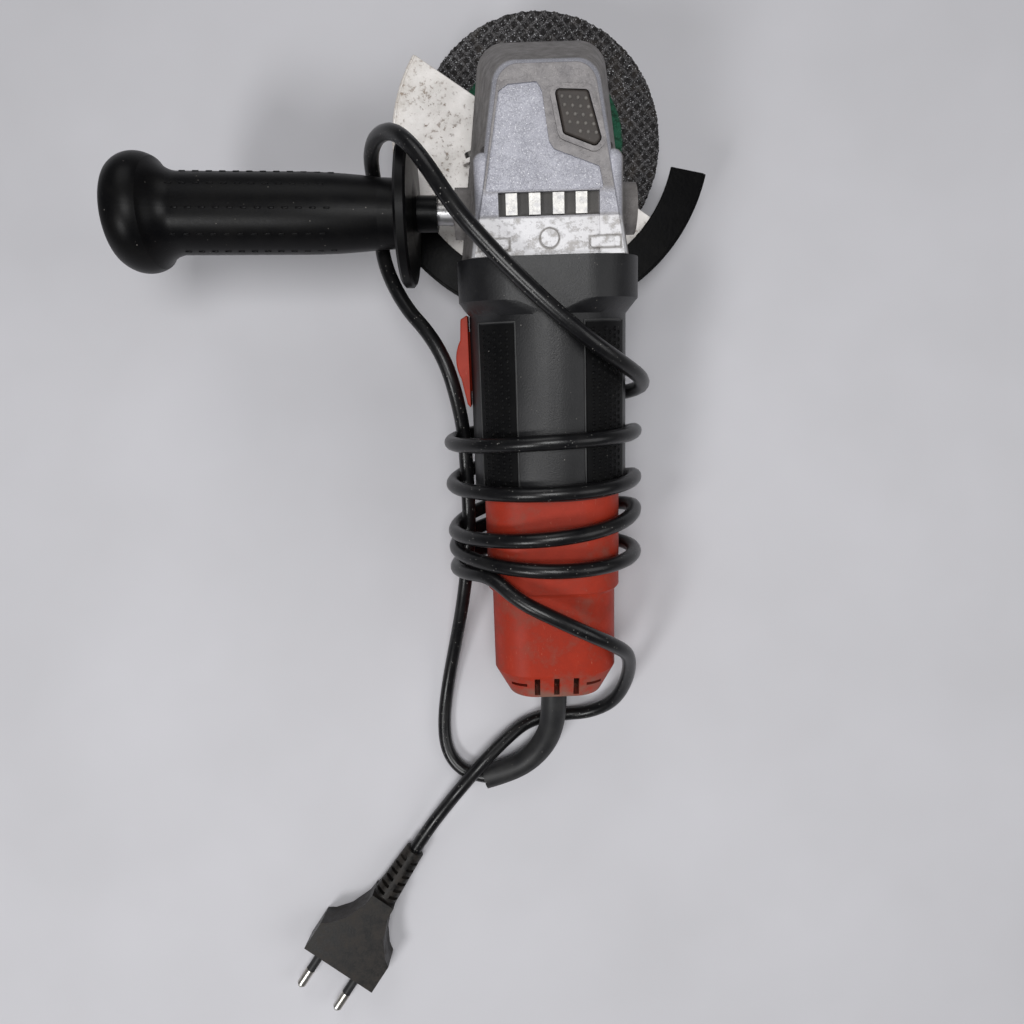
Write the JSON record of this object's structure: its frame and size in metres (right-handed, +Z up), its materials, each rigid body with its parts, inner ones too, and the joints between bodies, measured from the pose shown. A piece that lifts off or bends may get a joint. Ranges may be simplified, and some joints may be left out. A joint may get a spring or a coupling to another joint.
{
  "type": "angle grinder",
  "caption": "Small mains angle grinder with side handle, worn disc, two-piece guard, slide switch and a cord wound round its body, lying disc-down.",
  "frame": {"origin": "middle of the footprint without the cord, on the bench the tool lies on", "axes": "+Y towards the disc end along the tool, +X to the side away from the side handle, +Z up from the bench; the tool lies nose-up by 12.7 degrees"},
  "size_m": [0.222, 0.4148, 0.0987],
  "materials": {
    "cast_aluminium": "sand-blasted, worn",
    "black_nylon": "satin, glass-filled",
    "soft_black": "pebbled",
    "orange_plastic": "fine grain, dusty",
    "zinc_steel": "zinc plated, dusty, rust specks",
    "black_paint": "semi-matt",
    "steel": "ground",
    "blackened_steel": "oiled",
    "abrasive": "bonded grit with glass-fibre mesh",
    "copper": "lacquered wire",
    "brass": "drawn",
    "lamination": "stacked sheet",
    "carbon": "pressed",
    "rubber": "matt",
    "cord_pvc": "smooth, slightly dusty",
    "dark_button": "dotted",
    "insulator": "phenolic"
  },
  "bodies": {
    "root": {"bearing_flange": "cast_aluminium", "brush_holders": "brass", "brush_springs": "steel", "carbon_brushes": "carbon", "casing_screws": "blackened_steel", "clamp_screws": "blackened_steel", "cord_clamp": "insulator", "cord_inner": "cord_pvc", "cord_lead": "cord_pvc", "cord_sleeve": "rubber", "cord_tail": "cord_pvc", "cord_wraps": "cord_pvc", "dust_seal": "rubber", "fan_baffle": "black_nylon", "field_coils": "copper", "flange_screws": "blackened_steel", "front_bearing": "steel", "gear_case": "cast_aluminium", "gear_case_screws": "blackened_steel", "grip_pad_left": "soft_black", "grip_pad_right": "soft_black", "motor_housing": "black_nylon", "plug_body": "cord_pvc", "plug_pin_sleeves": "black_nylon", "plug_pins": "steel", "rear_bearing": "steel", "rear_bearing_cup": "rubber", "rear_casing_lower": "orange_plastic", "rear_casing_upper": "orange_plastic", "spindle_bearing": "steel", "spindle_top_bush": "brass", "stator_core": "lamination", "suppression_capacitor": "insulator", "switch_module": "insulator"},
    "spindle_body": {"spindle": "steel", "drive_gear": "steel", "gear_ring": "steel", "inner_flange": "steel", "grinding_disc": "abrasive", "lock_nut": "steel"},
    "armature_body": {"armature_shaft": "steel", "armature_core": "lamination", "armature_windings": "copper", "commutator": "brass", "fan": "black_nylon", "pinion": "steel", "pinion_nut": "steel"},
    "lock_body": {"lock_button": "dark_button", "lock_pin": "steel", "lock_spring": "steel"},
    "guard_body": {"guard_plate": "zinc_steel", "guard_band": "black_paint", "guard_clamp": "zinc_steel", "guard_clamp_screw": "blackened_steel"},
    "handle_body": {"handle_grip": "black_nylon", "handle_flange": "black_nylon", "handle_stud": "steel"},
    "switch_body": {"switch_slider": "orange_plastic", "switch_rod": "black_nylon"}
  },
  "joints": [
    {"name": "spindle_spin", "type": "hinge", "parent": "root", "child": "spindle_body", "pos_m": [0.04409, 0.082, 0.05004], "axis": [0, -0.2199, 0.9755], "continuous": true},
    {"name": "armature_spin", "type": "hinge", "parent": "root", "child": "armature_body", "pos_m": [0.04409, -0.01019, 0.04976], "axis": [0, -0.9755, -0.2199], "continuous": true},
    {"name": "lock_press", "type": "slide", "parent": "root", "child": "lock_body", "axis": [0, 0.2199, -0.9755], "range_m": [0, 0.004], "stiffness_N_per_m": 400},
    {"name": "guard_turn", "type": "hinge", "parent": "root", "child": "guard_body", "pos_m": [0.04409, 0.08486, 0.03736], "axis": [0, -0.2199, 0.9755], "range_deg": [-30, 40]},
    {"name": "handle_unscrew", "type": "hinge", "parent": "root", "child": "handle_body", "pos_m": [0.01149, 0.04639, 0.06252], "axis": [-0.9995, 0.0306, 0.0069], "range_deg": [0, 180]},
    {"name": "switch_slide", "type": "slide", "parent": "root", "child": "switch_body", "axis": [0, 0.9755, 0.2199], "range_m": [0, 0.008]}
  ],
  "couplings": [
    {"joint": "armature_spin", "follows": "spindle_spin", "ratio": 3}
  ]
}
